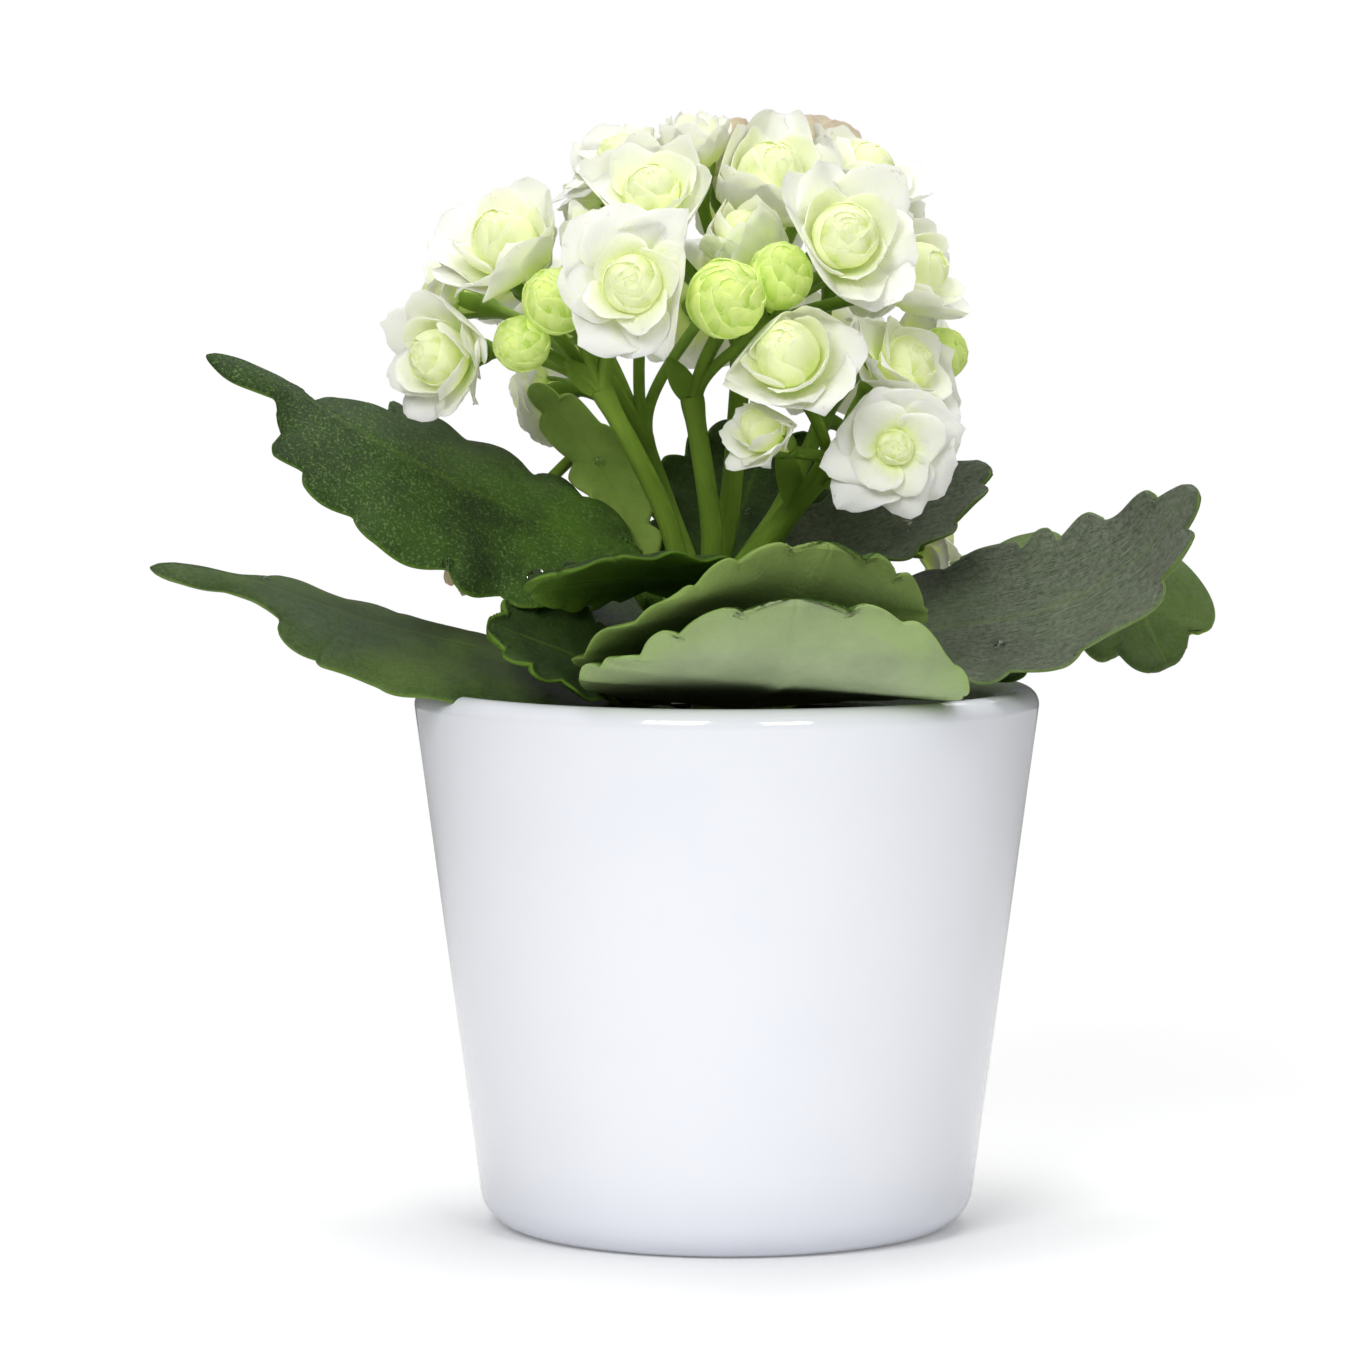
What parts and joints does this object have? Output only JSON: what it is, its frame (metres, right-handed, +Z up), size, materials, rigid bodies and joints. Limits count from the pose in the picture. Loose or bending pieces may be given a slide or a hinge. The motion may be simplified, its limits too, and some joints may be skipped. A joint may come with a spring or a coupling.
{
  "type": "potted kalanchoe",
  "caption": "Kalanchoe plant with scalloped fleshy leaves and a dome of double white flowers, in a nursery pot inside a plain tapered glazed cover pot.",
  "frame": {"origin": "centre of the cover pot's flat foot, on the surface that it stands on", "axes": "+Z up, -Y to the front that the picture shows, +X to that view's right"},
  "size_m": [0.1363, 0.0986, 0.143],
  "materials": {
    "ceramic": "white gloss glaze",
    "nursery_plastic": "black, satin",
    "soil": "damp, crumbly peat",
    "stem": "smooth, fresh green",
    "leaf": "waxy, dark green",
    "petal": "soft, creamy white",
    "faded_petal": "dry, browned at the tips",
    "bud": "soft, pale green"
  },
  "bodies": {
    "root": {"cover_pot": "ceramic", "nursery_pot": "nursery_plastic", "potting_soil": "soil", "main_stem": "stem", "leaf_upper_left": "leaf", "leaf_lower_left": "leaf", "leaf_young_left": "leaf", "leaf_front_left": "leaf", "leaf_front_middle": "leaf", "leaf_front_low": "leaf", "leaf_left_inner": "leaf", "leaf_right": "leaf", "leaf_right_low": "leaf", "leaf_upper_right": "leaf", "leaf_upper_back": "leaf", "leaf_back_left": "leaf", "leaf_back_right": "leaf", "flower_stalk_left": "stem", "flower_stalk_front": "stem", "flower_stalk_middle": "stem", "flower_stalk_right": "stem", "flower_stalk_back_left": "stem", "flower_stalk_back_right": "stem", "bloom_01": "petal", "bloom_02": "petal", "bloom_03": "petal", "bloom_04": "petal", "bloom_05": "petal", "bloom_06": "petal", "bloom_07": "petal", "bloom_08": "petal", "bloom_09": "faded_petal", "bloom_10": "petal", "bloom_11": "faded_petal", "bloom_12": "petal", "bloom_13": "petal", "bloom_14": "petal", "bloom_15": "petal", "bloom_16": "petal", "bloom_17": "petal", "bloom_18": "petal", "bloom_19": "faded_petal", "bloom_20": "petal", "bloom_21": "petal", "bloom_22": "petal", "bloom_23": "petal", "bloom_24": "petal", "bloom_25": "petal", "bloom_26": "petal", "bloom_27": "petal", "bloom_28": "petal", "bloom_29": "petal", "bloom_30": "petal", "bloom_31": "petal", "bloom_32": "petal", "bud_1": "bud", "bud_2": "bud", "bud_3": "bud", "bud_4": "bud", "bud_5": "bud"}
  },
  "joints": []
}
